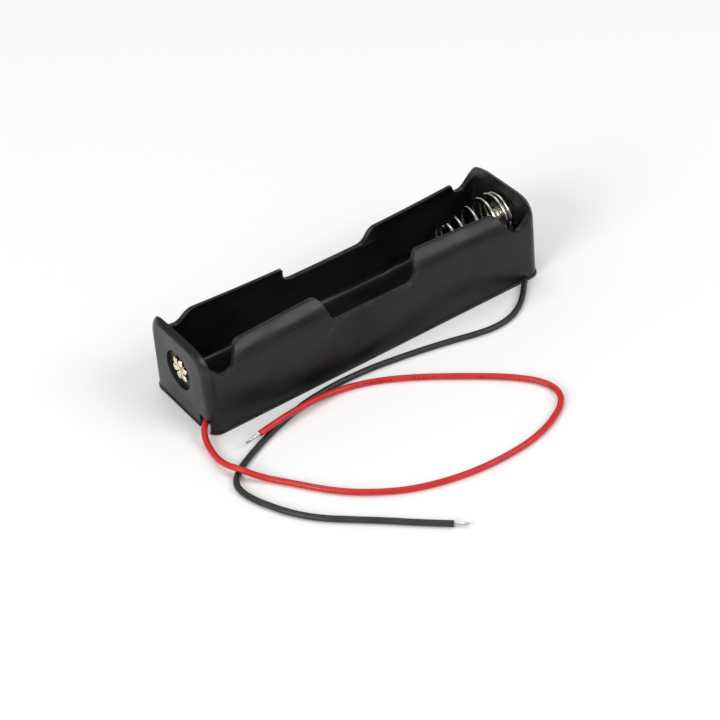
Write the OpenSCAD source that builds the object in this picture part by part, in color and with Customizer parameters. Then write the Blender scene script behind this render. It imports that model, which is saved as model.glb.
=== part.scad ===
// Holder for one standard cylindrical cell, with a sprung negative end and two soldered leads.
// Millimetres. +X runs towards the spring, +Y towards the back wall, +Z up.
// The origin is under the middle of the foot.

/* [Housing] */
// Overall length, end face to end face
holder_l = 77; // [70:0.5:95]
// Overall width at the foot
holder_w = 21; // [18:0.5:26]
// Height of the two end walls
end_h = 17.4; // [14.4:0.1:21]
// How far the four tabs that clip over the cell stop short of that height
tab_drop = 1.2; // [0.5:0.1:2]
// Thickness of the floor
floor_t = 1.2; // [0.8:0.1:2]
// Thickness of the side walls at the cell's mid-height
side_t = 1; // [0.8:0.1:1.6]
// Thickness of the end walls
end_t = 1.7; // [1.4:0.1:2.4]
// How far the middle of each tab's top leans in, as the walls relax after moulding
bow = 2; // [0:0.1:2.4]
// Radius of the upright outer corners
corner_r = 2.4; // [1.5:0.1:3.5]
// Radius that turns each side wall in over the cell
arch_r = 6; // [4:0.5:8]
// Radius along the top edge of each end wall
rim_r = 1.4; // [0.4:0.1:1.8]
// Lean of the outer faces from upright, in degrees
draft = 0.8; // [0.2:0.1:1.5]
// How far the lip round the foot stands proud
lip_out = 0.2; // [0.1:0.05:0.5]
// Height of the lip round the foot
lip_h = 0.5; // [0.3:0.1:0.8]

/* [Bay for the cell] */
// Radius of the upright inner corners
bay_corner_r = 1.2; // [0.6:0.1:2]
// Radius between the floor and the side walls
bay_foot_r = 2; // [1:0.1:3]

/* [Side cut-outs] */
// Depth of the middle cut-out, from the top of the tabs
mid_cut_d = 5; // [3.5:0.1:6]
// Half length of the middle cut-out at its foot
mid_cut_half = 9.4; // [6:0.1:14]
// Slope of the middle cut-out's ends, in degrees
mid_cut_slope = 75; // [60:1:85]
// Radius at the foot of the middle cut-out
mid_foot_r = 2.2; // [1:0.1:3]
// Radius of the tab corners beside the middle cut-out
mid_tab_r = 1.8; // [0.5:0.1:2]
// Distance of each tab's outer end from the end wall
notch_l = 7; // [5:0.1:9]
// Depth at which the two slopes of an end notch would meet, from the top of the tabs
notch_d = 4.9; // [4:0.1:6]
// Distance of that meeting line from the end wall
notch_foot = 4.2; // [3.5:0.1:4.6]
// Slope of the end notch towards the end wall, in degrees
notch_rise = 35; // [20:1:45]
// Radius at the foot of an end notch
notch_r = 2; // [1:0.1:2.2]
// Radius of the tab corners beside the end notches
notch_tab_r = 1.6; // [0.5:0.1:2]

/* [Ends] */
// Height of the rivets and the spring above the foot
contact_h = 9.5; // [8:0.1:11]
// Room round the rivet's petals in each end face's recess
recess_room = 1.2; // [0.5:0.1:2]
// Depth of the recess
recess_d = 1; // [0.7:0.05:1.1]
// Radius of the rivet bores
bore_r = 1.25; // [1:0.05:1.5]
// Width of the slot that the first lead leaves by
slot_w = 3; // [2:0.1:4]
// Height of that slot
slot_h = 3.05; // [2.9:0.05:4]
// Distance of that slot from the outer side of the housing
slot_edge = 1.5; // [1.3:0.1:2.5]

/* [Contacts] */
// Thickness of the contact strip
strip_t = 0.4; // [0.3:0.05:0.5]
// Width of the positive contact plate
plate_w = 8.4; // [7:0.1:9]
// Width of the strip that runs down to the floor
leg_w = 2.6; // [2:0.1:3]
// Radius of the eye of the negative tag
eye_r = 3.1; // [2.5:0.1:3.3]
// Room between a rivet shank and its bore
shank_clear = 0.05; // [0.02:0.01:0.1]
// Wall of the hollow rivet end
shank_wall = 0.3; // [0.2:0.05:0.35]
// Height of the rivet heads
head_h = 0.8; // [0.5:0.05:1]
// Outer radius of the rolled petals
petal_r = 2.8; // [2.5:0.1:3.2]
// Height of the rolled petals
petal_h = 0.6; // [0.5:0.05:0.65]
// Number of petals
petals = 6; // [5:1:8]
// Width of the splits between the petals
split_w = 0.45; // [0.3:0.05:0.6]

/* [Spring] */
// Diameter of the spring wire
wire_d = 0.75; // [0.5:0.05:0.9]
// Radius of the coils, to the middle of the wire
coil_r = 4.4; // [4:0.1:5]
// Length of the free spring, to the middle of its end wires
coil_l = 13; // [9:0.1:15]
// Number of coils
coils = 5; // [4:1:6]
// Pitch where the end coils close up
closed_pitch = 0.8; // [0.8:0.05:1]
// Room between the small inner loop and the rivet shank
loop_clear = 0.12; // [0.1:0.01:0.2]

/* [Leads] */
// Outer diameter of the insulation
lead_d = 1.2; // [0.9:0.05:1.3]
// Diameter of the bare strands
strand_d = 0.6; // [0.4:0.05:0.7]
// Radius of the solder joints
solder_r = 1.1; // [0.9:0.05:1.2]

/* [Hidden] */

past = 1;                                       // how far a cut runs past a face
lean = tan(draft);
half_l = holder_l / 2;
half_w = holder_w / 2;
body_l = half_l - lip_out;                      // half sizes of the leaning walls at z = 0
body_w = half_w - lip_out;
tab_h = end_h - tab_drop;
mid_cut_h = tab_h - mid_cut_d;
notch_h = tab_h - notch_d;
bay_r = (body_w - side_t - floor_t * lean) / (1 + lean);
axis_h = floor_t + bay_r;                       // the cell lies on the floor
bay_l = half_l - end_t;                         // inner face of the end walls
least_flat = 0.05;                              // flat left on top of an end wall
most_over = 0.9;                                // share of the cell's radius that the tabs may close over
rim = min(rim_r, end_t - lip_out - end_h * lean - least_flat);
bore_wall = end_t - recess_d;                   // wall left behind a recess
recess_r = petal_r + recess_room;
shank_r = bore_r - shank_clear;
loop_r = shank_r + loop_clear + wire_d / 2;     // small loop of the spring, round the shank
head_over = 0.05;                               // how far a rivet head covers the loop's middle
head_r = loop_r + head_over;

exit_clear = 0.3;                               // room round the second lead in its slot
exit_gap = 2.8;                                 // distance of its slot from the end wall
exit_x = bay_l - exit_gap;
exit_r = lead_d / 2 + exit_clear;
exit_in = 5.8;                                  // how far from the middle its slot ends

// ---------- profiles ----------

function unit(v) = v / norm(v);

module along_y(l) {
    rotate([90, 0, 0]) linear_extrude(l, center = true) children();
}

// Closed solid through rings of n points each, given one after the other.
module skin(points, n) {
    last = len(points) / n - 1;
    walls = [for (i = [0 : last - 1], k = [0 : n - 1])
        let (a = i * n + k, b = i * n + (k + 1) % n) each [[a, a + n, b], [b, a + n, b + n]]];
    ends = [[for (k = [0 : n - 1]) k], [for (k = [n - 1 : -1 : 0]) last * n + k]];
    polyhedron(points, concat(walls, ends), convexity = 10);
}

// What a fillet adds or takes away at corner p between neighbours a and b.
// Its own corner lies past p, so that it crosses both edges and shares neither.
module web(p, a, b, r) {
    u = unit(a - p);
    v = unit(b - p);
    half = acos(u * v) / 2;
    c = p + unit(u + v) * r / sin(half);
    run = r / tan(half);
    difference() {
        polygon([p - unit(u + v) * past, p + u * run, c, p + v * run]);
        translate(c) circle(r, $fn = 48);
    }
}

module rounded_plate(l, w, r, h) {
    linear_extrude(h) {
        square([l - 2 * r, w], center = true);
        square([l, w - 2 * r], center = true);
        for (x = [-1, 1], y = [-1, 1])
            translate([x * (l / 2 - r), y * (w / 2 - r)]) circle(r, $fn = 48);
    }
}

// ---------- housing ----------

bow_steps = 16;                                 // sections along the straight of the walls
turn_steps = 6;                                 // sections round an upright corner
upright_steps = 4;                              // faces up the upright part of a section
arch_turn = 9;                                  // degrees of a section's arch for each face
foot_turn = 18;                                 // degrees of the bay's foot radius for each face
cell_steps = 9;                                 // faces up the cell's own curve

// Stations along half the length that end in a corner of radius r, as [x, share of the corner turned].
function stations(l, r) = [
    for (i = [0 : bow_steps / 2]) [(l - r) * 2 * i / bow_steps, 0],
    for (i = [1 : turn_steps]) [l - r + r * sin(i * 90 / turn_steps), 1 - cos(i * 90 / turn_steps)]
];

function both_ways(half) = concat(
    [for (i = [len(half) - 1 : -1 : 1]) [-half[i][0], half[i][1]]], half
);

bulge = 0.3;                                    // how far from straight the leaning wall is
flat_floor = 0.5;                               // share of the floor's width that stays as it is

// How far a wall leans in at height z: nothing at the foot or the end walls, most in the middle.
function bowed(x, y, z) =
    let (u = min(z / tab_h, 1), inward = bow * u * (1 + bulge - bulge * u) * (1 - pow(x / half_l, 2)))
    y - inward * min(y / (bay_r * flat_floor), 1);

// Points of one side of a section, foot first, for the wall's outer face.
function outer_side(side, top) =
    let (ry = arch_r - side, rz = arch_r - top, c = [body_w - (end_h - arch_r) * lean - arch_r, end_h - arch_r])
    [
        for (i = [0 : upright_steps]) let (z = c[1] * i / upright_steps) [body_w - side - z * lean, z],
        for (a = [arch_turn : arch_turn : 90]) c + [ry * cos(a), rz * sin(a)]
    ];

// The same for the bay: foot radius, upright wall, then the cell's own curve.
function bay_side(side) =
    let (
        foot = [bay_r - bay_foot_r, floor_t + bay_foot_r],
        over = asin(min((end_h + past - axis_h) / bay_r, most_over))
    )
    [
        for (a = [-90 : foot_turn : 0]) foot + [(bay_foot_r - side) * cos(a), bay_foot_r * sin(a)],
        for (i = [1 : upright_steps]) [bay_r - side, foot[1] + (axis_h - foot[1]) * i / upright_steps],
        for (i = [1 : cell_steps]) let (a = over * i / cell_steps)
            [(bay_r - side) * cos(a), i < cell_steps ? axis_h + bay_r * sin(a) : end_h + past]
    ];

// Solid through sections along X; sides holds one list of [y, z] points for each x in xs.
// A section's x draws in with height by the given lean.
module through_sections(xs, sides, draw) {
    n = 2 * len(sides[0]);
    points = [for (i = [0 : len(xs) - 1]) let (x = xs[i], side = sides[i], m = len(side)) each concat(
        [for (p = side) [x * (1 - draw * p[1] / half_l), bowed(x, p[0], p[1]), p[1]]],
        [for (k = [m - 1 : -1 : 0]) let (p = side[k])
            [x * (1 - draw * p[1] / half_l), -bowed(x, p[0], p[1]), p[1]]]
    )];
    skin(points, n);
}

module outer_shape() {
    half = both_ways(stations(body_l, corner_r));
    through_sections(
        [for (s = half) s[0]],
        [for (s = half) outer_side(s[1] * corner_r, s[1] * rim)],
        lean
    );
    rounded_plate(holder_l, holder_w, corner_r + lip_out, lip_h);
}

module bay() {
    half = both_ways(stations(bay_l, bay_corner_r));
    through_sections([for (s = half) s[0]], [for (s = half) bay_side(s[1] * bay_corner_r)], 0);
}

// Half of the cut that leaves the tabs, from the middle plane to the end wall.
module side_cut_profile() {
    top = end_h + past;
    mid_top = mid_cut_half + (tab_h - mid_cut_h) / tan(mid_cut_slope);
    mid_foot = [mid_cut_half, mid_cut_h];
    mid_tab = [mid_top, tab_h];
    notch_tab = [bay_l - notch_l, tab_h];
    notch_low = [bay_l - notch_foot, notch_h];
    notch_end = [bay_l, notch_h + notch_foot * tan(notch_rise)];
    difference() {
        union() {
            polygon([
                [-past, mid_cut_h], mid_foot, mid_tab, notch_tab,
                notch_low, notch_end, [bay_l, top], [-past, top]
            ]);
            web(mid_tab, mid_foot, notch_tab, mid_tab_r);
            web(notch_tab, mid_tab, notch_low, notch_tab_r);
        }
        web(mid_foot, [0, mid_cut_h], mid_tab, mid_foot_r);
        web(notch_low, notch_tab, notch_end, notch_r);
        web(notch_end, notch_low, [bay_l, top], notch_r);
    }
}

module side_cuts() {
    for (s = [0, 1]) mirror([s, 0, 0]) along_y(holder_w + 2 * past) side_cut_profile();
}

// Recess and bore of one end, for the +X end wall.
module rivet_seat() {
    translate([bay_l, 0, contact_h]) rotate([0, 90, 0]) {
        translate([0, 0, bore_wall]) cylinder(h = recess_d + past, r = recess_r, $fn = 96);
        translate([0, 0, -past]) cylinder(h = end_t + past, r = bore_r, $fn = 48);
    }
}

module first_lead_slot() {
    translate([-half_l - past, slot_edge - half_w, -past]) cube([end_t + past, slot_w, slot_h + past]);
}

module second_lead_slot() {
    translate([exit_x, -half_w - past, lead_d / 2]) rotate([-90, 0, 0])
        cylinder(h = half_w + past - exit_in, r = exit_r, $fn = 48);
    translate([exit_x - exit_r, -half_w - past, -past])
        cube([2 * exit_r, half_w + past - exit_in, lead_d / 2 + past]);
}

module housing() {
    color("#2a2b2c") difference() {
        outer_shape();
        bay();
        side_cuts();
        for (s = [0, 1]) mirror([s, 0, 0]) rivet_seat();
        first_lead_slot();
        second_lead_slot();
    }
}

// ---------- rivets ----------

// Section of the rolled end, standing on the recess floor.
module petal_profile() {
    lip = petal_h - shank_wall / 2;
    bend_x = shank_r - shank_wall + petal_h;
    lip_x = petal_r - lip;
    difference() {
        union() {
            translate([bend_x, 0]) circle(petal_h, $fn = 48);
            translate([bend_x, 0]) square([lip_x - bend_x, petal_h]);
            translate([lip_x, petal_h - lip]) circle(lip, $fn = 48);
        }
        translate([bend_x, 0]) circle(petal_h - shank_wall, $fn = 48);
        translate([bend_x, -past]) square([lip_x - bend_x, past + petal_h - shank_wall]);
        translate([lip_x, petal_h - lip]) circle(lip - shank_wall, $fn = 48);
        translate([0, -past]) square([petal_r + past, past]);
    }
}

// A rivet through a strip of the given stack, wall inner face at z = 0, petals towards +Z.
module rivet(stack) {
    dome_r = (head_r * head_r + head_h * head_h) / (2 * head_h);
    intersection() {
        translate([0, 0, dome_r - head_h - stack]) sphere(dome_r, $fn = 96);
        translate([0, 0, -head_h - stack - past]) cylinder(h = head_h + past, r = head_r, $fn = 96);
    }
    difference() {
        translate([0, 0, -stack]) cylinder(h = stack + bore_wall, r = shank_r, $fn = 48);
        cylinder(h = bore_wall + past, r = shank_r - shank_wall, $fn = 48);
    }
    translate([0, 0, bore_wall]) difference() {
        rotate_extrude($fn = 96) petal_profile();
        for (i = [0 : petals - 1]) rotate([0, 0, (i + 0.5) * 360 / petals])
            translate([shank_r + shank_wall, -split_w / 2, -past]) cube([petal_r, split_w, petal_h + 2 * past]);
    }
}

module positive_rivet() {
    color("#c9c4b6") translate([-bay_l, 0, contact_h]) rotate([0, -90, 0]) rivet(strip_t);
}

module negative_rivet() {
    color("#c9c4b6") translate([bay_l, 0, contact_h]) rotate([0, 90, 0]) rivet(strip_t + wire_d);
}

// ---------- contact strips ----------

leg_lap = 1.4;                                  // how far the strip's leg laps the plate
tag_y = leg_lap - plate_w / 2 - leg_w / 2;      // middle of that leg
tag_l = 4.2;                                    // reach of the strips along the floor
foot_clear = 0.1;                               // room between a strip and the bay's foot radius

// Strip down the end wall and along the floor, for the +X end wall.
module leg(y, w, reach) {
    translate([bay_l - strip_t, y - w / 2, floor_t]) cube([strip_t, w, contact_h - floor_t]);
    translate([bay_l - reach, y - w / 2, floor_t]) cube([reach, w, strip_t]);
}

module positive_contact() {
    color("#c4c6c8") mirror([1, 0, 0]) difference() {
        union() {
            translate([bay_l - strip_t, 0, contact_h]) rotate([0, 90, 0])
                cylinder(h = strip_t, r = plate_w / 2, $fn = 96);
            translate([bay_l - strip_t, -plate_w / 2, contact_h - plate_w / 2])
                cube([strip_t, plate_w, plate_w / 2]);
            leg(tag_y, leg_w, tag_l);
            translate([bay_l - tag_l, bay_foot_r + foot_clear - bay_r, floor_t])
                cube([leg_w, tag_y - bay_foot_r - foot_clear + bay_r, strip_t]);
        }
        translate([bay_l - strip_t - past, 0, contact_h]) rotate([0, 90, 0])
            cylinder(h = strip_t + 2 * past, r = bore_r, $fn = 48);
    }
}

module negative_tag() {
    color("#c4c6c8") difference() {
        union() {
            translate([bay_l - strip_t, 0, contact_h]) rotate([0, 90, 0])
                cylinder(h = strip_t, r = eye_r, $fn = 96);
            leg(black_in[1] + leg_w / 2 + strand_d, leg_w, tag_l);
            translate([bay_l - strip_t, black_in[1] + strand_d, contact_h - leg_w])
                cube([strip_t, -black_in[1] - strand_d, leg_w]);
        }
        translate([bay_l - strip_t - past, 0, contact_h]) rotate([0, 90, 0])
            cylinder(h = strip_t + 2 * past, r = bore_r, $fn = 48);
    }
}

// ---------- swept wire and leads ----------

function along(path, i) =
    unit(path[min(i + 1, len(path) - 1)] - path[max(i - 1, 0)]);

function ring(p, t, side, r, n) =
    let (u = unit(side - (side * t) * t), v = cross(t, u))
    [for (k = [0 : n - 1]) p + r * (cos(k * 360 / n) * u + sin(k * 360 / n) * v)];

// One tube through all points of a path; sides gives a direction across the path at each point.
module tube(path, sides, r, n) {
    skin([for (i = [0 : len(path) - 1]) each ring(path[i], along(path, i), sides[i], r, n)], n);
}

module lead(path) {
    tube(path, [for (p = path) [0, 0, 1]], lead_d / 2, 8);
}

// Bare strands that go straight on from a lead that runs from one point to the next.
module strands(before, from, l) {
    d = unit(from - before);
    translate(from) rotate([0, acos(d[2]), atan2(d[1], d[0])]) cylinder(h = l, r = strand_d / 2, $fn = 24);
}

rest_h = lead_d / 2;                            // middle of a lead that lies on the table
over_h = rest_h + lead_d + 0.1;                 // middle of a lead that crosses another

red_in = [-bay_l + 1.6, -6.9, 2.2];             // where the insulation ends inside
red_path = [
    red_in, red_in - [1, 0, 0], [-37.2, -7.3, 2.2], [-38.5, -8.2, 2.1], [-39.7, -9.8, 1.7], [-40.4, -11.6, 1.1],
    [-40.8, -13.7, 0.8], [-41.1, -15.9, 0.9], [-41.2, -18.1, 1.3], [-41, -20.3, 1.8],
    [-40.3, -21.9, over_h], [-39.5, -23.3, 1.7], [-38.4, -24.7, 1.2], [-36.7, -26.7, 0.7],
    [-34.1, -30.2, rest_h], [-31.4, -34, rest_h], [-28.6, -37.4, rest_h], [-25.5, -40.3, rest_h],
    [-22.1, -42.8, rest_h], [-18.4, -44.9, rest_h], [-14.5, -46.4, rest_h], [-10.5, -47.5, rest_h],
    [-6.5, -48.2, rest_h], [-2.5, -48.5, rest_h], [1.5, -48.5, rest_h], [5.4, -48.1, rest_h],
    [9.1, -47.2, rest_h], [12.5, -45.8, rest_h], [15.5, -43.9, rest_h], [17.3, -41.6, rest_h],
    [17.6, -39, rest_h], [16.7, -36.3, rest_h], [14.9, -33.7, rest_h], [12.4, -31, rest_h],
    [9.2, -28.1, rest_h], [5.6, -25.1, rest_h], [1.8, -22.1, rest_h], [-2.2, -19.3, rest_h],
    [-6.4, -16.9, rest_h], [-11, -15.2, 0.7], [-15.6, -14.7, 1.1], [-19.7, -14.9, 1.5],
    [-23.7, -15.3, 1.8], [-27.8, -15.9, over_h], [-32, -16.5, 1.8]
];
red_tip_l = 3.5;

black_in = [exit_x, -5.1, 2.2];
black_path = [
    black_in, black_in - [0, 0.8, 0], [exit_x, -6.9, 1.6], [exit_x, -7.9, 0.9], [exit_x, -9.2, 0.65],
    [exit_x, -10.6, rest_h],
    [33.3, -11.4, rest_h], [31.9, -12.9, rest_h], [29.6, -15.1, rest_h], [27, -16.9, rest_h],
    [23.9, -18.1, rest_h], [20.4, -18.4, rest_h], [16.6, -17.8, rest_h], [12.6, -16.7, rest_h],
    [8.6, -15.7, rest_h], [4.6, -14.8, rest_h], [0.4, -14, rest_h], [-4, -13.3, rest_h],
    [-8.4, -12.9, rest_h], [-12.8, -12.8, rest_h], [-17, -13.1, rest_h], [-21.1, -13.7, rest_h],
    [-25.4, -15, rest_h], [-29.8, -16.5, rest_h], [-34, -18.3, rest_h], [-37.6, -20.1, rest_h],
    [-40.3, -21.9, rest_h], [-41.9, -23.8, rest_h], [-42.3, -26, rest_h], [-41.8, -29, rest_h],
    [-40.4, -32.6, rest_h], [-38.4, -36.5, rest_h], [-35.5, -40.4, rest_h], [-31.8, -44, rest_h],
    [-27.4, -48, rest_h], [-22.9, -52.3, rest_h], [-18.4, -56.4, rest_h]
];
black_tip_l = 2.8;
inner_strand_l = 2;

module red_lead() {
    color("#d8303a") lead(red_path);
}

module red_lead_tip() {
    color("#c9c9c6") strands(red_path[len(red_path) - 2], red_path[len(red_path) - 1], red_tip_l);
}

module red_lead_inner_end() {
    color("#c9c9c6") strands(red_path[1], red_in, inner_strand_l);
}

module black_lead() {
    color("#2b2b2d") lead(black_path);
}

module black_lead_tip() {
    color("#c9c9c6") strands(black_path[len(black_path) - 2], black_path[len(black_path) - 1], black_tip_l);
}

module black_lead_inner_end() {
    color("#c9c9c6") strands(black_path[1], black_in, inner_strand_l);
}

solder_at = 0.7;                                // place of the solder along the bare strands

// A drop of solder that stands on the strip and holds the strands.
module solder(at) {
    intersection() {
        translate([at[0], at[1], floor_t + strip_t]) sphere(solder_r, $fn = 48);
        translate([at[0] - solder_r, at[1] - solder_r, floor_t + strip_t])
            cube([2 * solder_r, 2 * solder_r, solder_r]);
    }
}

module positive_solder() {
    color("#b9bcbd") difference() {
        solder(red_in + [inner_strand_l * solder_at, 0, 0]);
        red_lead_inner_end();
    }
}

module negative_solder() {
    color("#b9bcbd") difference() {
        solder(black_in + [0, inner_strand_l * solder_at, 0]);
        black_lead_inner_end();
    }
}

// ---------- spring ----------

coil_steps = 20;                                // rings of the sweep for each coil
turn_in = 0.7;                                  // part of a turn that runs in to the small loop
loop_turns = 0.9;
open_pitch = closed_pitch + 2 * (coil_l / coils - closed_pitch);
base_x = bay_l - strip_t - wire_d / 2;          // the base coil lies on the tag

// Distance of a point on the coils from the base, n turns up from it.
function rise(n) =
    closed_pitch * n + (open_pitch - closed_pitch) * (n / 2 - coils / (4 * PI) * sin(n * 360 / coils));

function ease(t) = t * t * (3 - 2 * t);

function spring_r(n) =
    n >= 0 ? coil_r : n <= -turn_in ? loop_r : coil_r + (loop_r - coil_r) * ease(-n / turn_in);

function spring_point(n) =
    [base_x - (n > 0 ? rise(n) : 0), -spring_r(n) * sin(360 * n), contact_h + spring_r(n) * cos(360 * n)];

module contact_spring() {
    steps = [for (i = [-round((turn_in + loop_turns) * coil_steps) : coils * coil_steps]) i / coil_steps];
    color("#c2c4c6") tube(
        [for (n = steps) spring_point(n)],
        [for (n = steps) [0, -sin(360 * n), cos(360 * n)]],
        wire_d / 2, 8
    );
}

housing();
positive_contact();
positive_rivet();
positive_solder();
red_lead();
red_lead_inner_end();
red_lead_tip();
contact_spring();
negative_tag();
negative_rivet();
negative_solder();
black_lead();
black_lead_inner_end();
black_lead_tip();
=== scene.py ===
import math
import random

import bpy
from mathutils import Matrix, Vector


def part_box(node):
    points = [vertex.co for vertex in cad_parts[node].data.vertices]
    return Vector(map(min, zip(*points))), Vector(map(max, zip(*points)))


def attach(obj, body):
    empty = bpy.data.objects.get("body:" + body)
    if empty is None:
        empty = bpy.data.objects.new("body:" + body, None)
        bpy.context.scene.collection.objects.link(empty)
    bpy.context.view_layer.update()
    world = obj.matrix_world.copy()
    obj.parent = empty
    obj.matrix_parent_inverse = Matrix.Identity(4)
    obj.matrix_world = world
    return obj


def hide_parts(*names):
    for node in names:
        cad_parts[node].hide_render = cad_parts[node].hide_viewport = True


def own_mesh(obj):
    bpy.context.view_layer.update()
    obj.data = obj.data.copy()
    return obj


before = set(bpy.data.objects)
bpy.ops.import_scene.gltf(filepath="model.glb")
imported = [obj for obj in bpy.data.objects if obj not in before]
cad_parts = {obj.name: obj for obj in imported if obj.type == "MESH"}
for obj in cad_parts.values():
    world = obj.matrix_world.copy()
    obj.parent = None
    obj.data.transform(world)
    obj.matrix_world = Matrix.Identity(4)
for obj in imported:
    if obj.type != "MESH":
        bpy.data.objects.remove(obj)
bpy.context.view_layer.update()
bpy.ops.object.select_all(action="DESELECT")

# --- Table, light and camera ---
# A plain white table under a large soft sky, with soft square lamps in front to the right,
# to the left and above. The camera stands in front to the left and looks down.
bpy.ops.mesh.primitive_plane_add(size=3, location=(0, 0, -0.00002))
table = bpy.context.object
table.name = "table_top"
paper = bpy.data.materials.new("white_paper")
paper.use_nodes = True
paper.node_tree.nodes["Principled BSDF"].inputs["Base Color"].default_value = (0.955, 0.955, 0.95, 1)
paper.node_tree.nodes["Principled BSDF"].inputs["Roughness"].default_value = 0.9
paper.node_tree.nodes["Principled BSDF"].inputs["Specular IOR Level"].default_value = 0.1
table.data.materials.append(paper)

sky = bpy.data.worlds.new("soft_room")
sky.use_nodes = True
sky.node_tree.nodes["Background"].inputs["Color"].default_value = (0.985, 0.99, 1, 1)
sky.node_tree.nodes["Background"].inputs["Strength"].default_value = 0.5
bpy.context.scene.world = sky


def soft_lamp(name, place, target, size, power):
    bpy.ops.object.light_add(type="AREA", location=place)
    lamp = bpy.context.object
    lamp.name = name
    lamp.data.shape = "SQUARE"
    lamp.data.size = size
    lamp.data.energy = power
    lamp.rotation_euler = (Vector(target) - Vector(place)).to_track_quat("-Z", "Y").to_euler()


soft_lamp("lamp_front_right", (0.42, -0.62, 0.66), (0, 0, 0), 0.5, 3.05)
soft_lamp("lamp_left", (-0.75, -0.2, 0.45), (0, 0, 0), 0.4, 3.5)
soft_lamp("lamp_above", (0.05, 0.35, 0.9), (0, 0, 0), 0.45, 1.75)

turn, lift, roll = math.radians(-32.14), math.radians(39.11), math.radians(-5.08)
back = Vector((math.sin(turn) * math.cos(lift), -math.cos(turn) * math.cos(lift), math.sin(lift)))
across = Vector((0, 0, 1)).cross(back).normalized()
upward = back.cross(across)
aside = math.cos(roll) * across + math.sin(roll) * upward
rise = math.cos(roll) * upward - math.sin(roll) * across
bpy.ops.object.camera_add()
camera = bpy.context.object
camera.name = "camera"
camera.data.sensor_width = 36
camera.data.lens = 102.8
camera.matrix_world = (
    Matrix.Translation((-0.16532, -0.26479, 0.24539)) @ Matrix((aside, rise, back)).transposed().to_4x4()
)
bpy.context.scene.camera = camera
bpy.context.scene.view_settings.view_transform = "Standard"

# --- Leads ---
# Two leads of seven tinned copper strands in soft vinyl insulation, 1.2 mm over the insulation.
# Each is soldered to a contact inside, leaves through a slot in the housing and lies loose on the
# table; its far end is stripped, so the twisted strands stand out of the cut insulation.
mm = 0.001
lead_d = 1.2 * mm
rest_h = 0.6
over_h = 1.9
red_points = [
    (-35.2, -6.9, 2.2), (-36.2, -6.9, 2.2), (-37.2, -7.3, 2.2), (-38.5, -8.2, 2.1), (-39.7, -9.8, 1.7),
    (-40.4, -11.6, 1.1), (-40.8, -13.7, 0.8), (-41.1, -15.9, 0.9), (-41.2, -18.1, 1.3), (-41, -20.3, 1.8),
    (-40.3, -21.9, over_h), (-39.5, -23.3, 1.7), (-38.4, -24.7, 1.2), (-36.7, -26.7, 0.7),
    (-34.1, -30.2, rest_h), (-31.4, -34, rest_h), (-28.6, -37.4, rest_h), (-25.5, -40.3, rest_h),
    (-22.1, -42.8, rest_h), (-18.4, -44.9, rest_h), (-14.5, -46.4, rest_h), (-10.5, -47.5, rest_h),
    (-6.5, -48.2, rest_h), (-2.5, -48.5, rest_h), (1.5, -48.5, rest_h), (5.4, -48.1, rest_h),
    (9.1, -47.2, rest_h), (12.5, -45.8, rest_h), (15.5, -43.9, rest_h), (17.3, -41.6, rest_h),
    (17.6, -39, rest_h), (16.7, -36.3, rest_h), (14.9, -33.7, rest_h), (12.4, -31, rest_h),
    (9.2, -28.1, rest_h), (5.6, -25.1, rest_h), (1.8, -22.1, rest_h), (-2.2, -19.3, rest_h),
    (-6.4, -16.9, rest_h), (-11, -15.2, 0.7), (-15.6, -14.7, 1.1), (-19.7, -14.9, 1.5),
    (-23.7, -15.3, 1.8), (-27.8, -15.9, over_h), (-32, -16.5, 1.8),
]
black_points = [
    (34, -5.1, 2.2), (34, -5.9, 2.2), (34, -6.9, 1.6), (34, -7.9, 0.9), (34, -9.2, 0.65),
    (34, -10.6, rest_h), (33.3, -11.4, rest_h), (31.9, -12.9, rest_h), (29.6, -15.1, rest_h),
    (27, -16.9, rest_h), (23.9, -18.1, rest_h), (20.4, -18.4, rest_h), (16.6, -17.8, rest_h),
    (12.6, -16.7, rest_h), (8.6, -15.7, rest_h), (4.6, -14.8, rest_h), (0.4, -14, rest_h),
    (-4, -13.3, rest_h), (-8.4, -12.9, rest_h), (-12.8, -12.8, rest_h), (-17, -13.1, rest_h),
    (-21.1, -13.7, rest_h), (-25.4, -15, rest_h), (-29.8, -16.5, rest_h), (-34, -18.3, rest_h),
    (-37.6, -20.1, rest_h), (-40.3, -21.9, rest_h), (-41.9, -23.8, rest_h), (-42.3, -26, rest_h),
    (-41.8, -29, rest_h), (-40.4, -32.6, rest_h), (-38.4, -36.5, rest_h), (-35.5, -40.4, rest_h),
    (-31.8, -44, rest_h), (-27.4, -48, rest_h), (-22.9, -52.3, rest_h), (-18.4, -56.4, rest_h),
]


def path_in_metres(points):
    return [Vector(p) * mm for p in points]


def only(piece):
    bpy.ops.object.select_all(action="DESELECT")
    piece.select_set(True)
    bpy.context.view_layer.objects.active = piece


def swept_wire(name, path, diameter, sides):
    """One round wire through the points of a path, with closed ends."""
    line = bpy.data.curves.new(name, "CURVE")
    line.dimensions = "3D"
    line.bevel_depth = diameter / 2
    line.bevel_resolution = sides
    line.resolution_u = 4
    line.use_fill_caps = True
    spline = line.splines.new("BEZIER")
    spline.bezier_points.add(len(path) - 1)
    for knot, place in zip(spline.bezier_points, path):
        knot.co = place
        knot.handle_left_type = knot.handle_right_type = "AUTO"
    piece = bpy.data.objects.new(name, line)
    bpy.context.collection.objects.link(piece)
    only(piece)
    bpy.ops.object.convert(target="MESH")
    piece = bpy.context.object
    bpy.ops.object.mode_set(mode="EDIT")
    bpy.ops.mesh.select_all(action="SELECT")
    bpy.ops.mesh.remove_doubles(threshold=1e-7)
    bpy.ops.mesh.normals_make_consistent(inside=False)
    bpy.ops.object.mode_set(mode="OBJECT")
    bpy.ops.object.shade_smooth_by_angle(angle=math.radians(40))
    return piece


def coat(piece, material):
    piece.data.materials.clear()
    piece.data.materials.append(material)


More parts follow.
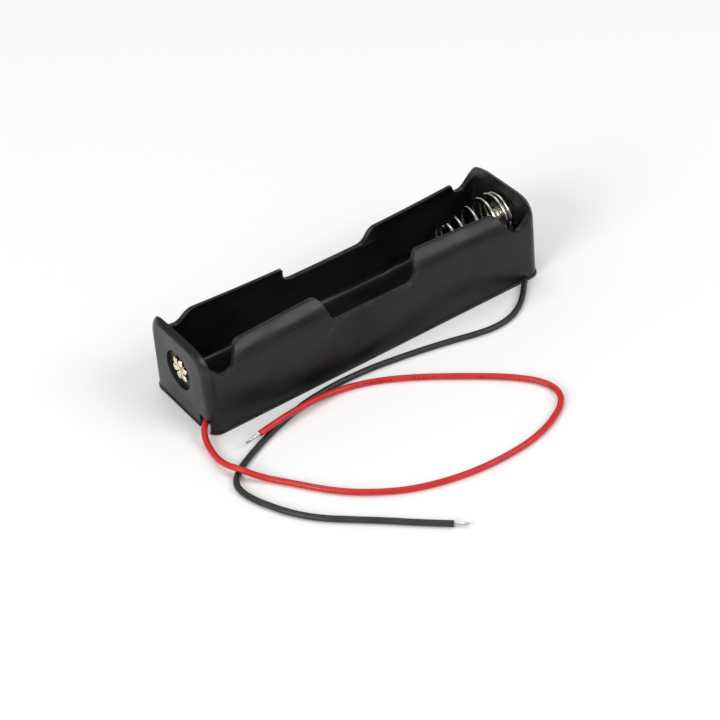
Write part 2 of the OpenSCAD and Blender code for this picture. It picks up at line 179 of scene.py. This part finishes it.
def finish(name, colour, roughness, metallic=0.0):
    """A material's principled shader with its plain values; the rest is wired to it."""
    material = bpy.data.materials.new(name)
    material.use_nodes = True
    shader = material.node_tree.nodes["Principled BSDF"]
    shader.inputs["Base Color"].default_value = (*colour, 1)
    shader.inputs["Roughness"].default_value = roughness
    shader.inputs["Metallic"].default_value = metallic
    return material, material.node_tree, shader


def cloudy(tree, scale, detail=3.0, stretch=(1, 1, 1), source="Object"):
    """Noise of so many spots to the metre, over the piece's own coordinates."""
    where = tree.nodes.new("ShaderNodeTexCoord")
    mapping = tree.nodes.new("ShaderNodeMapping")
    mapping.inputs["Scale"].default_value = stretch
    noise = tree.nodes.new("ShaderNodeTexNoise")
    noise.inputs["Scale"].default_value = scale
    noise.inputs["Detail"].default_value = detail
    tree.links.new(where.outputs[source], mapping.inputs["Vector"])
    tree.links.new(mapping.outputs["Vector"], noise.inputs["Vector"])
    return noise.outputs["Fac"]


def between(tree, mask, low, high, start=0.3, stop=0.7):
    """Turns a mask into a number that runs from low to high."""
    span = tree.nodes.new("ShaderNodeMapRange")
    span.interpolation_type = "SMOOTHSTEP"
    for socket, value in (("From Min", start), ("From Max", stop), ("To Min", low), ("To Max", high)):
        span.inputs[socket].default_value = value
    tree.links.new(mask, span.inputs["Value"])
    return span.outputs["Result"]


def two_colours(tree, mask, low, high):
    """Blends by a mask from a colour, or from what another node gives, to a second colour."""
    blend = tree.nodes.new("ShaderNodeMix")
    blend.data_type = "RGBA"
    if isinstance(low, tuple):
        blend.inputs["A"].default_value = (*low, 1)
    else:
        tree.links.new(low, blend.inputs["A"])
    blend.inputs["B"].default_value = (*high, 1)
    tree.links.new(mask, blend.inputs["Factor"])
    return blend.outputs["Result"]


def rough_to_the_touch(tree, shader, layers):
    """Stacks bump layers, each a mask and its height in metres, on the shader."""
    under = None
    for mask, height in layers:
        bump = tree.nodes.new("ShaderNodeBump")
        bump.inputs["Distance"].default_value = height
        tree.links.new(mask, bump.inputs["Height"])
        if under:
            tree.links.new(under, bump.inputs["Normal"])
        under = bump.outputs["Normal"]
    tree.links.new(under, shader.inputs["Normal"])


red_vinyl, tree, shader = finish("red_vinyl", (0.72, 0.03, 0.04), 0.35)
tree.links.new(
    two_colours(tree, between(tree, cloudy(tree, 300), 0, 1), (0.52, 0.008, 0.009), (0.62, 0.014, 0.016)),
    shader.inputs["Base Color"],
)
tree.links.new(between(tree, cloudy(tree, 900), 0.3, 0.45), shader.inputs["Roughness"])
rough_to_the_touch(tree, shader, [(cloudy(tree, 4000), 0.00002), (cloudy(tree, 500), 0.00006)])


def calc(tree, operation, first, second=None):
    step = tree.nodes.new("ShaderNodeMath")
    step.operation = operation
    for socket, value in zip(step.inputs, (first, second)):
        if isinstance(value, (int, float)):
            socket.default_value = value
        elif value is not None:
            tree.links.new(value, socket)
    return step.outputs[0]


# Faint broken dashes along one side, where the wire maker's ink has rubbed off. Their places are
# shares of the way round the wire, and their numbers are counts along its whole length.
band_at, band_half = 0.97, 0.06
dashes, dash_share = 240, 0.62
groups, group_share = 20, 0.66
ink_cover = 0.8
where = tree.nodes.new("ShaderNodeTexCoord")
apart = tree.nodes.new("ShaderNodeSeparateXYZ")
tree.links.new(where.outputs["UV"], apart.inputs["Vector"])
run, round_it = apart.outputs["X"], apart.outputs["Y"]
from_band = calc(tree, "SUBTRACT", calc(tree, "FRACT", calc(tree, "ADD", round_it, 1.5 - band_at)), 0.5)
line = calc(tree, "LESS_THAN", calc(tree, "ABSOLUTE", from_band), band_half)
dash = calc(tree, "LESS_THAN", calc(tree, "FRACT", calc(tree, "MULTIPLY", run, dashes)), dash_share)
group = calc(tree, "LESS_THAN", calc(tree, "FRACT", calc(tree, "MULTIPLY", run, groups)), group_share)
worn = between(tree, cloudy(tree, 2600, 2), 0, 1, 0.4, 0.56)
ink = calc(tree, "MULTIPLY", calc(tree, "MULTIPLY", line, dash), calc(tree, "MULTIPLY", group, worn))
plain = shader.inputs["Base Color"].links[0].from_socket
inked = two_colours(tree, calc(tree, "MULTIPLY", ink, ink_cover), plain, (0.12, 0.006, 0.01))
tree.links.new(inked, shader.inputs["Base Color"])

black_vinyl, tree, shader = finish("black_vinyl", (0.02, 0.02, 0.022), 0.4)
tree.links.new(
    two_colours(tree, between(tree, cloudy(tree, 300), 0, 1), (0.009, 0.009, 0.01), (0.019, 0.019, 0.021)),
    shader.inputs["Base Color"],
)
tree.links.new(between(tree, cloudy(tree, 900), 0.32, 0.5), shader.inputs["Roughness"])
rough_to_the_touch(tree, shader, [(cloudy(tree, 4000), 0.00002), (cloudy(tree, 500), 0.00006)])

strand_d = 0.192 * mm
lay_r = 0.195 * mm
lay_l = 5 * mm
outer_strands = 6
tinned, tree, shader = finish("tinned_strands", (0.72, 0.71, 0.69), 0.3, 1.0)
tree.links.new(
    two_colours(tree, between(tree, cloudy(tree, 1200, 3), 0, 1), (0.6, 0.58, 0.55), (0.82, 0.81, 0.8)),
    shader.inputs["Base Color"],
)
tree.links.new(between(tree, cloudy(tree, 3000, 3), 0.2, 0.45), shader.inputs["Roughness"])
rough_to_the_touch(tree, shader, [(cloudy(tree, 9000, 2), 0.000008)])


def bare_strands(name, before, start, length, seed):
    """Twisted strands that go straight on from the end of a lead."""
    chance = random.Random(seed)
    heading = (Vector(start) - Vector(before)).normalized()
    bpy.ops.object.select_all(action="DESELECT")
    wires = []
    for k in range(outer_strands + 1):
        reach = length - chance.uniform(0, 0.12) * length
        steps = 12
        points = []
        for i in range(steps + 1):
            along = reach * i / steps
            angle = 2 * math.pi * k / outer_strands + along / lay_l * 2 * math.pi
            off = lay_r if k < outer_strands else 0
            points.append(Vector((off * math.cos(angle), off * math.sin(angle), along)))
        wires.append(swept_wire(f"{name}_{k}", points, strand_d, 2))
    bundle = wires[0]
    only(bundle)
    for wire in wires:
        wire.select_set(True)
    bpy.context.view_layer.objects.active = bundle
    bpy.ops.object.join()
    bundle.name = name
    bundle.data.transform(
        Matrix.Translation(Vector(start)) @ heading.to_track_quat("Z", "X").to_matrix().to_4x4()
    )
    coat(bundle, tinned)
    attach(bundle, "holder")
    return bundle


for colour, points, vinyl, exit_at, tip_l, seed in (
    ("red", red_points, red_vinyl, 3, 3.5 * mm, 1),
    ("black", black_points, black_vinyl, 5, 2.8 * mm, 2),
):
    path = path_in_metres(points)
    lead = swept_wire(f"{colour}_insulation", path, lead_d, 5)
    coat(lead, vinyl)
    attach(lead, "holder")
    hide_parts(f"{colour}_lead")
    tip = bare_strands(f"{colour}_strands_tip", path[-2], path[-1], tip_l, seed)
    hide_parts(f"{colour}_lead_tip")
    inner = bare_strands(f"{colour}_strands_inner", path[1], path[0], 2 * mm, seed + 2)
    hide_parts(f"{colour}_lead_inner_end")

# --- Housing ---
# One injection moulding in black polypropylene: an open trough with an end wall at each end.
# Its side walls relax inwards after moulding, and its edges come out of the tool slightly rounded.
edge_r = 0.1 * mm


def merged_copy(node, name):
    """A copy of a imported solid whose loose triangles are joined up."""
    only(bpy.data.objects[node])
    bpy.ops.object.duplicate()
    piece = bpy.context.object
    piece.name = name
    bpy.ops.object.mode_set(mode="EDIT")
    bpy.ops.mesh.select_all(action="SELECT")
    bpy.ops.mesh.remove_doubles(threshold=1e-6)
    bpy.ops.mesh.normals_make_consistent(inside=False)
    bpy.ops.object.mode_set(mode="OBJECT")
    return piece


def round_the_edges(piece, width, sharper_than=35, segments=2):
    """Joins flat faces up, rounds the sharp edges and keeps the flats looking flat."""
    only(piece)
    bpy.ops.object.mode_set(mode="EDIT")
    bpy.ops.mesh.select_all(action="SELECT")
    bpy.ops.mesh.dissolve_limited(angle_limit=math.radians(0.3))
    bpy.ops.object.mode_set(mode="OBJECT")
    rounding = piece.modifiers.new("rounding", "BEVEL")
    rounding.width = width
    rounding.segments = segments
    rounding.limit_method = "ANGLE"
    rounding.angle_limit = math.radians(sharper_than)
    rounding.use_clamp_overlap = False
    rounding.miter_outer = "MITER_ARC"
    bpy.ops.object.modifier_apply(modifier="rounding")
    bpy.ops.object.shade_smooth_by_angle(angle=math.radians(30))
    flats = piece.modifiers.new("flats", "WEIGHTED_NORMAL")
    flats.keep_sharp = True
    bpy.ops.object.modifier_apply(modifier="flats")


housing = merged_copy("housing", "moulded_housing")
arch_r = 6 * mm
end_arch_r = 3.5 * mm
arch_in = arch_r - end_arch_r
lean = math.tan(math.radians(0.8))
half_l, half_w, end_h = 38.5 * mm, 10.3 * mm, 17.4 * mm
arch_z = end_h - arch_r
arch_y = half_w - arch_z * lean - arch_r
tight_from, tight_full = 31.41 * mm, 35.9 * mm
outer_face_from = 37 * mm
top_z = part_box("housing")[1][2]
for corner in housing.data.vertices:
    share = min(max((abs(corner.co.x) - tight_from) / (tight_full - tight_from), 0), 1) ** 2
    out, up = abs(corner.co.y) - arch_y, corner.co.z - arch_z
    if share > 0 and out > 0 and up > 0:
        reach = math.hypot(out, up)
        c, s = out / reach, up / reach
        edge = arch_in * (c + s) + math.sqrt(arch_in**2 * (c + s) ** 2 - 2 * arch_in**2 + end_arch_r**2)
        if edge * c < arch_in:
            edge = arch_r / s
        elif edge * s < arch_in:
            edge = arch_r / c
        grow = 1 + (edge / arch_r - 1) * share * min(reach / arch_r, 1) ** 2
        height = min(arch_z + up * grow, top_z)
        if abs(corner.co.x) > outer_face_from:
            corner.co.x *= (half_l - lean * height) / (half_l - lean * corner.co.z)
        corner.co.y = math.copysign(arch_y + out * grow, corner.co.y)
        corner.co.z = height
round_the_edges(housing, edge_r)

black_plastic, tree, shader = finish("black_plastic", (0.012, 0.012, 0.013), 0.34)
shader.inputs["Specular IOR Level"].default_value = 0.27
tree.links.new(
    two_colours(tree, between(tree, cloudy(tree, 90, 5), 0, 1), (0.0065, 0.0066, 0.007), (0.0125, 0.0127, 0.0135)),
    shader.inputs["Base Color"],
)
plain = shader.inputs["Base Color"].links[0].from_socket
shape = tree.nodes.new("ShaderNodeNewGeometry")
# Convex edges are lightened by a Pointiness mask broken up by noise. This is partly flash and wear on the moulded
# edges, and partly a painted highlight along the rims of the rounded edges.
edge_wear_and_painted_highlight = calc(
    tree, "MULTIPLY", between(tree, shape.outputs["Pointiness"], 0, 1, 0.515, 0.56),
    between(tree, cloudy(tree, 400, 3), 0.2, 1, 0.35, 0.6),
)
tree.links.new(two_colours(tree, edge_wear_and_painted_highlight, plain, (0.036, 0.036, 0.035)), shader.inputs["Base Color"])
tree.links.new(between(tree, cloudy(tree, 200, 3), 0.24, 0.36), shader.inputs["Roughness"])
rough_to_the_touch(
    tree, shader,
    [(cloudy(tree, 5500, 1), 0.000004), (cloudy(tree, 700, 1), 0.00001), (cloudy(tree, 60, 0), 0.0003)],
)
coat(housing, black_plastic)
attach(housing, "holder")
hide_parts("housing")

# --- Contact spring ---
# Nickel-plated spring wire, wound as a cone of six coils that runs in to a small closed loop.
# The rivet's head holds that loop against the tag, so the coils press on the cell's flat end.
wire_d = 0.62 * mm
base_r = 4.95 * mm
tip_r = 3.2 * mm
loop_r = 1.695 * mm
coil_l = 13 * mm
coils = 6
turn_in = 0.7
loop_turns = 0.9
closed_pitch = 0.66 * mm
open_pitch = closed_pitch + 2 * (coil_l / coils - closed_pitch)
base_x = 36.025 * mm
contact_h = 9.5 * mm
knots_a_turn = 24


def ease(share):
    share = min(max(share, 0), 1)
    return share * share * (3 - 2 * share)


def spring_point(n):
    along = closed_pitch * n + (open_pitch - closed_pitch) * (
        n / 2 - coils / (4 * math.pi) * math.sin(2 * math.pi * n / coils)
    )
    radius = base_r + (tip_r - base_r) * ease((n - 1) / 4.5) + (loop_r - base_r) * ease(-n / turn_in)
    angle = 2 * math.pi * n
    return Vector((
        base_x - max(along, 0) * (n > 0),
        -radius * math.sin(angle),
        contact_h + radius * math.cos(angle),
    ))


first_knot = -round((turn_in + loop_turns) * knots_a_turn)
spring = swept_wire(
    "wound_spring", [spring_point(i / knots_a_turn) for i in range(first_knot, coils * knots_a_turn + 1)],
    wire_d, 5,
)
spring_wire, tree, shader = finish("spring_wire", (0.78, 0.76, 0.72), 0.2, 1.0)
tree.links.new(
    two_colours(tree, between(tree, cloudy(tree, 500, 4), 0, 1), (0.58, 0.55, 0.5), (0.7, 0.67, 0.62)),
    shader.inputs["Base Color"],
)
tree.links.new(between(tree, cloudy(tree, 800, 2), 0.12, 0.2), shader.inputs["Roughness"])
rough_to_the_touch(tree, shader, [(cloudy(tree, 9000, 1), 0.0000005)])
coat(spring, spring_wire)
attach(spring, "spring")
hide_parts("contact_spring")
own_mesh(spring)


# --- Rivets ---
# Plated brass eyelets that clamp each contact to its end wall. The domed head is inside;
# the tube's end is split into petals and rolled out over the bottom of the recess.
shank_r = 1.2 * mm
shank_wall = 0.3 * mm
head_r = 1.745 * mm
head_h = 0.8 * mm
wall_left = 0.7 * mm
petal_out = 2.78 * mm
petal_up = 0.58 * mm
petal_count = 6
tube_r = shank_r - shank_wall
bend_r = 0.55 * mm
bend_share = 0.4
root_down = 0.25 * mm
end_wall_x = 36.8 * mm
strip_t = 0.4 * mm


def turned(name, profile, steps=48):
    """A closed outline of (radius, height) points spun about the upright axis."""
    mesh = bpy.data.meshes.new(name)
    edges = [(i, (i + 1) % len(profile)) for i in range(len(profile))]
    mesh.from_pydata([(r, 0, z) for r, z in profile], edges, [])
    piece = bpy.data.objects.new(name, mesh)
    bpy.context.collection.objects.link(piece)
    only(piece)
    bpy.ops.object.mode_set(mode="EDIT")
    bpy.ops.mesh.select_all(action="SELECT")
    bpy.ops.mesh.spin(steps=steps, angle=2 * math.pi, center=(0, 0, 0), axis=(0, 0, 1))
    bpy.ops.mesh.select_all(action="SELECT")
    bpy.ops.mesh.remove_doubles(threshold=1e-6)
    bpy.ops.mesh.normals_make_consistent(inside=False)
    bpy.ops.object.mode_set(mode="OBJECT")
    return piece


def rolled_petal(name, turn, chance):
    """One petal, from inside the tube, up over its bend and out to a worn tip."""
    bpy.ops.mesh.primitive_grid_add(x_subdivisions=10, y_subdivisions=6, size=2)
    petal = bpy.context.object
    petal.name = name
    tip_out = petal_out - chance.uniform(0, 0.25) * mm
    tip_down = chance.uniform(0.15, 0.4) * mm
    skew = chance.uniform(-0.12, 0.12)
    half_width = math.pi / petal_count * chance.uniform(0.78, 0.92)
    for corner in petal.data.vertices:
        along, aside_of = (corner.co.x + 1) / 2, corner.co.y
        if along < bend_share:
            angle = along / bend_share * math.pi / 2
            r = tube_r + bend_r * (1 - math.cos(angle))
            z = -root_down + (petal_up + root_down) * math.sin(angle)
        else:
            far = (along - bend_share) / (1 - bend_share)
            r = tube_r + bend_r + far * (tip_out - tube_r - bend_r)
            z = petal_up - tip_down * far * far
        narrowing = 1 - 0.35 * max(along - 0.75, 0) * 4 * abs(aside_of) ** 2
        z -= 0.16 * mm * abs(aside_of) ** 2.5 * min(along * 2, 1)
        angle = turn + half_width * aside_of * (1.05 - 0.22 * along) + skew * along
        corner.co = (r * narrowing * math.cos(angle), r * narrowing * math.sin(angle), z)
    only(petal)
    for kind, settings in (
        ("SOLIDIFY", {"thickness": 0.2 * mm, "offset": -1}),
        ("SUBSURF", {"levels": 1, "render_levels": 1}),
    ):
        step = petal.modifiers.new(kind, kind)
        for field, value in settings.items():
            setattr(step, field, value)
        bpy.ops.object.modifier_apply(modifier=kind)
    return petal


rivet_metal, tree, shader = finish("rivet_metal", (0.86, 0.8, 0.7), 0.24, 1.0)
tree.links.new(
    two_colours(tree, between(tree, cloudy(tree, 900, 4), 0, 1, 0.42, 0.62), (0.95, 0.92, 0.87), (0.85, 0.68, 0.42)),
    shader.inputs["Base Color"],
)
tree.links.new(between(tree, cloudy(tree, 2500, 4), 0.16, 0.4), shader.inputs["Roughness"])
rough_to_the_touch(tree, shader, [(cloudy(tree, 5000, 3), 0.00002), (cloudy(tree, 1600, 2), 0.00006)])

for end, sign, stack in (("positive", -1, strip_t), ("negative", 1, 1.15 * mm)):
    chance = random.Random(7 + sign)
    dome = [(head_r * math.sin(a * math.pi / 20), -stack - head_h * math.cos(a * math.pi / 20)) for a in range(11)]
    body = turned(
        f"{end}_eyelet",
        [(0.00001, dome[0][1])] + dome[1:] + [
            (head_r - 0.05 * mm, -stack), (shank_r, -stack), (shank_r, wall_left), (shank_r - shank_wall, wall_left),
            (shank_r - shank_wall, -stack + 0.2 * mm), (0.00001, -stack + 0.2 * mm),
        ],
    )
    petals = [
        rolled_petal(f"{end}_petal_{i}", 2 * math.pi * i / petal_count + 0.3 * sign, chance) for i in range(petal_count)
    ]
    for petal in petals:
        petal.data.transform(Matrix.Translation((0, 0, wall_left)))
    only(body)
    for petal in petals:
        petal.select_set(True)
    bpy.context.view_layer.objects.active = body
    bpy.ops.object.join()
    body.data.transform(
        Matrix.Translation((sign * end_wall_x, 0, contact_h)) @ Matrix.Rotation(sign * math.pi / 2, 4, "Y")
    )
    bpy.ops.object.shade_smooth_by_angle(angle=math.radians(50))
    coat(body, rivet_metal)
    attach(body, "holder")
    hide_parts(f"{end}_rivet")

# --- Contact strips ---
# Nickel-plated steel strip, punched and bent up: a round plate that the cell's button meets at one
# end, a tag under the spring at the other, each with a leg along the floor for its lead.
plated_strip, tree, shader = finish("plated_strip", (0.7, 0.69, 0.66), 0.3, 1.0)
tree.links.new(
    two_colours(tree, between(tree, cloudy(tree, 350, 5), 0, 1), (0.56, 0.55, 0.52), (0.76, 0.75, 0.73)),
    shader.inputs["Base Color"],
)
tree.links.new(
    between(tree, cloudy(tree, 900, 4, (1, 0.08, 1)), 0.2, 0.46), shader.inputs["Roughness"]
)
rough_to_the_touch(tree, shader, [(cloudy(tree, 6000, 2, (1, 0.05, 1)), 0.000006), (cloudy(tree, 400, 2), 0.00004)])
for node, name in (("positive_contact", "positive_plate"), ("negative_tag", "spring_tag")):
    strip = merged_copy(node, name)
    round_the_edges(strip, 0.06 * mm)
    coat(strip, plated_strip)
    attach(strip, "holder")
    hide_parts(node)

# --- Solder ---
# Two drops of soft solder that hold the leads' inner strands to the strips' legs.
# Each flowed over the strands and set dull, with a slightly grainy skin.
solder_metal, tree, shader = finish("solder_metal", (0.62, 0.63, 0.64), 0.3, 1.0)
tree.links.new(
    two_colours(tree, between(tree, cloudy(tree, 1500, 4), 0, 1), (0.5, 0.5, 0.5), (0.72, 0.73, 0.74)),
    shader.inputs["Base Color"],
)
tree.links.new(between(tree, cloudy(tree, 2500, 4), 0.2, 0.5), shader.inputs["Roughness"])
rough_to_the_touch(tree, shader, [(cloudy(tree, 2200, 3), 0.00005)])
for end in ("positive", "negative"):
    drop = merged_copy(f"{end}_solder", f"{end}_solder_drop")
    round_the_edges(drop, 0.08 * mm, 30)
    coat(drop, solder_metal)
    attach(drop, "holder")
    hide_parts(f"{end}_solder")
